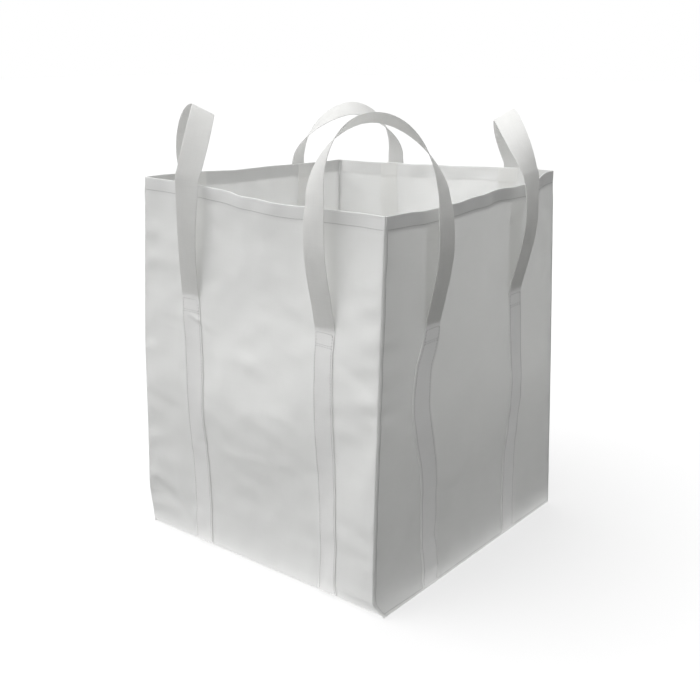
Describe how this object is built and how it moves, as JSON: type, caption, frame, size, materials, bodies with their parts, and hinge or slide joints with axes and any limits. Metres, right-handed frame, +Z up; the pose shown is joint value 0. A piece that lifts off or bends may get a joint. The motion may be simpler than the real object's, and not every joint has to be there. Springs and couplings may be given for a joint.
{
  "type": "bulk bag",
  "caption": "Open-topped square bulk bag of white woven cloth, with cross-corner webbing loops that stand above the rim, sewn down its walls.",
  "frame": {"origin": "middle of the floor's underside, where the bag stands", "axes": "+Z up; +X towards the right side panel; -Y towards the front wall of the U-shaped panel"},
  "size_m": [0.9902, 0.9902, 1.3158],
  "materials": {
    "cloth": "satin",
    "webbing": "satin",
    "backing": "satin",
    "thread": "matte"
  },
  "bodies": {
    "bag": {"u_panel": "cloth", "right_side_panel": "cloth", "left_side_panel": "cloth", "hem_stitching": "thread", "right_seam_stitching": "thread", "left_seam_stitching": "thread", "front_wall_right_backing": "backing", "front_wall_left_backing": "backing", "right_wall_front_backing": "backing", "right_wall_back_backing": "backing", "back_wall_right_backing": "backing", "back_wall_left_backing": "backing", "left_wall_front_backing": "backing", "left_wall_back_backing": "backing", "front_right_sewn_straps": "webbing", "front_right_stitching": "thread", "front_right_lower_folds": "webbing", "back_right_sewn_straps": "webbing", "back_right_stitching": "thread", "back_right_lower_folds": "webbing", "back_left_sewn_straps": "webbing", "back_left_stitching": "thread", "back_left_lower_folds": "webbing", "front_left_sewn_straps": "webbing", "front_left_stitching": "thread", "front_left_lower_folds": "webbing"},
    "front_right_straps": {"front_right_loose_straps": "webbing", "front_right_upper_folds": "webbing"},
    "front_right_loop": {"front_right_arch": "webbing"},
    "back_right_straps": {"back_right_loose_straps": "webbing", "back_right_upper_folds": "webbing"},
    "back_right_loop": {"back_right_arch": "webbing"},
    "back_left_straps": {"back_left_loose_straps": "webbing", "back_left_upper_folds": "webbing"},
    "back_left_loop": {"back_left_arch": "webbing"},
    "front_left_straps": {"front_left_loose_straps": "webbing", "front_left_upper_folds": "webbing"},
    "front_left_loop": {"front_left_arch": "webbing"}
  },
  "joints": [
    {"name": "front_right_drop", "type": "hinge", "parent": "bag", "child": "front_right_straps", "pos_m": [0.34263, -0.34263, 0.77504], "axis": [0.7071, 0.7071, 0], "range_deg": [-5, 115], "stiffness_Nm_per_rad": 1.5, "deforming": ["front_right_lower_folds"]},
    {"name": "front_right_swing", "type": "hinge", "parent": "front_right_straps", "child": "front_right_loop", "pos_m": [0.36012, -0.36012, 1.14325], "axis": [0.7071, 0.7071, 0], "range_deg": [-72, 75], "stiffness_Nm_per_rad": 0.4, "deforming": ["front_right_upper_folds"]},
    {"name": "back_right_drop", "type": "hinge", "parent": "bag", "child": "back_right_straps", "pos_m": [0.34263, 0.34263, 0.77504], "axis": [-0.7071, 0.7071, 0], "range_deg": [-5, 115], "stiffness_Nm_per_rad": 1.5, "deforming": ["back_right_lower_folds"]},
    {"name": "back_right_swing", "type": "hinge", "parent": "back_right_straps", "child": "back_right_loop", "pos_m": [0.36012, 0.36012, 1.14325], "axis": [-0.7071, 0.7071, 0], "range_deg": [-72, 75], "stiffness_Nm_per_rad": 0.4, "deforming": ["back_right_upper_folds"]},
    {"name": "back_left_drop", "type": "hinge", "parent": "bag", "child": "back_left_straps", "pos_m": [-0.34263, 0.34263, 0.77504], "axis": [-0.7071, -0.7071, 0], "range_deg": [-5, 115], "stiffness_Nm_per_rad": 1.5, "deforming": ["back_left_lower_folds"]},
    {"name": "back_left_swing", "type": "hinge", "parent": "back_left_straps", "child": "back_left_loop", "pos_m": [-0.36012, 0.36012, 1.14325], "axis": [-0.7071, -0.7071, 0], "range_deg": [-72, 75], "stiffness_Nm_per_rad": 0.4, "deforming": ["back_left_upper_folds"]},
    {"name": "front_left_drop", "type": "hinge", "parent": "bag", "child": "front_left_straps", "pos_m": [-0.34263, -0.34263, 0.77504], "axis": [0.7071, -0.7071, 0], "range_deg": [-5, 115], "stiffness_Nm_per_rad": 1.5, "deforming": ["front_left_lower_folds"]},
    {"name": "front_left_swing", "type": "hinge", "parent": "front_left_straps", "child": "front_left_loop", "pos_m": [-0.36012, -0.36012, 1.14325], "axis": [0.7071, -0.7071, 0], "range_deg": [-72, 75], "stiffness_Nm_per_rad": 0.4, "deforming": ["front_left_upper_folds"]}
  ]
}
